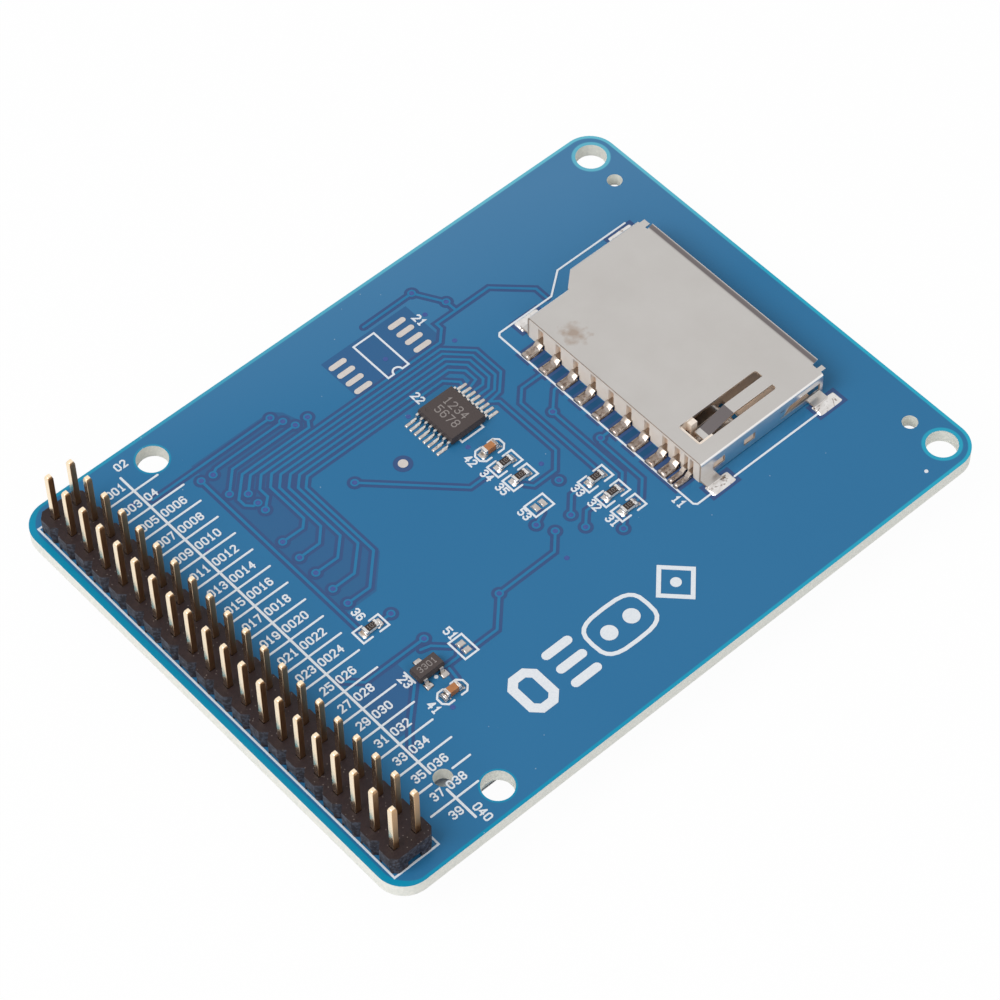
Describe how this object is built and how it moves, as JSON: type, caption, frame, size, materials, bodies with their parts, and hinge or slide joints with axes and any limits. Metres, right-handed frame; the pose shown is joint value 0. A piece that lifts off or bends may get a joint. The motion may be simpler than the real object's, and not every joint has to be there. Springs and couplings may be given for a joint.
{
  "type": "tft display module",
  "caption": "Colour touch display on a circuit board with a pin header, card socket, touch controller and regulator on its back.",
  "frame": {"origin": "under the centre of the circuit board, on the front face of the touch panel, which lies on the surface", "axes": "+X along the board's long side from the pin header to the card socket's mouth; +Y along its short side; +Z from the display's front face up to the pin tips"},
  "size_m": [0.0738, 0.0552, 0.015],
  "materials": {
    "board": "glass-epoxy laminate under semi-gloss blue solder mask",
    "header_plastic": "moulded black thermoplastic, slightly glossy",
    "pin_metal": "gold-flashed brass, drawn and cut",
    "solder": "bright reflowed tin solder",
    "socket_plastic": "moulded cream thermoplastic",
    "socket_steel": "stamped steel sheet with satin nickel plating",
    "contact_metal": "plated phosphor bronze strip",
    "lead_metal": "bright tin-plated lead frame",
    "package_plastic": "dark moulded epoxy, fine matte",
    "chip_ceramic": "fired white alumina",
    "resistor_coat": "dark glass overcoat",
    "capacitor_ceramic": "fired orange-brown ceramic",
    "touch_film": "clear polyester film with a fine hard coat",
    "black_tape": "black double-sided adhesive film",
    "display_glass": "polished soda-lime sheet",
    "flex_film": "amber polyimide over copper",
    "polarizer_film": "dark polarizing film, anti-glare",
    "silicon": "ground silicon die",
    "optic_film": "micro-prism polyester film",
    "white_film": "white voided polyester film",
    "light_guide_acrylic": "clear acrylic with printed dots",
    "led_resin": "phosphor-filled resin in a white cup",
    "frame_plastic": "moulded white polycarbonate",
    "tray_steel": "stamped stainless sheet",
    "white_tape": "white acrylic foam tape",
    "board_print": "white screen-printed epoxy ink on the board"
  },
  "bodies": {
    "root": {"pcb": "board", "header_body": "header_plastic", "header_pins": "pin_metal", "header_solder": "solder", "card_base": "socket_plastic", "card_cover": "socket_steel", "card_contacts": "contact_metal", "card_switch_springs": "contact_metal", "card_solder": "solder", "touch_controller": "package_plastic", "touch_controller_leads": "lead_metal", "regulator": "package_plastic", "regulator_leads": "lead_metal", "resistor_1": "chip_ceramic", "resistor_2": "chip_ceramic", "resistor_3": "chip_ceramic", "resistor_4": "chip_ceramic", "resistor_5": "chip_ceramic", "resistor_6": "chip_ceramic", "resistor_coats": "resistor_coat", "capacitor_1": "capacitor_ceramic", "capacitor_2": "capacitor_ceramic", "chip_end_caps": "lead_metal", "smd_solder": "solder", "bare_pads": "solder", "touch_film": "touch_film", "touch_gasket": "black_tape", "touch_glass": "display_glass", "touch_flex": "flex_film", "touch_tape": "black_tape", "front_polarizer": "polarizer_film", "colour_filter_glass": "display_glass", "tft_array_glass": "display_glass", "driver_chip": "silicon", "rear_polarizer": "polarizer_film", "cell_rim_tape": "black_tape", "prism_film_upper": "optic_film", "prism_film_lower": "optic_film", "diffuser_film": "white_film", "light_guide": "light_guide_acrylic", "reflector_film": "white_film", "led_strip": "flex_film", "backlight_leds": "led_resin", "backlight_frame": "frame_plastic", "backlight_tray": "tray_steel", "display_flex": "flex_film", "display_flex_solder": "solder", "mounting_tape": "white_tape"}
  },
  "joints": []
}
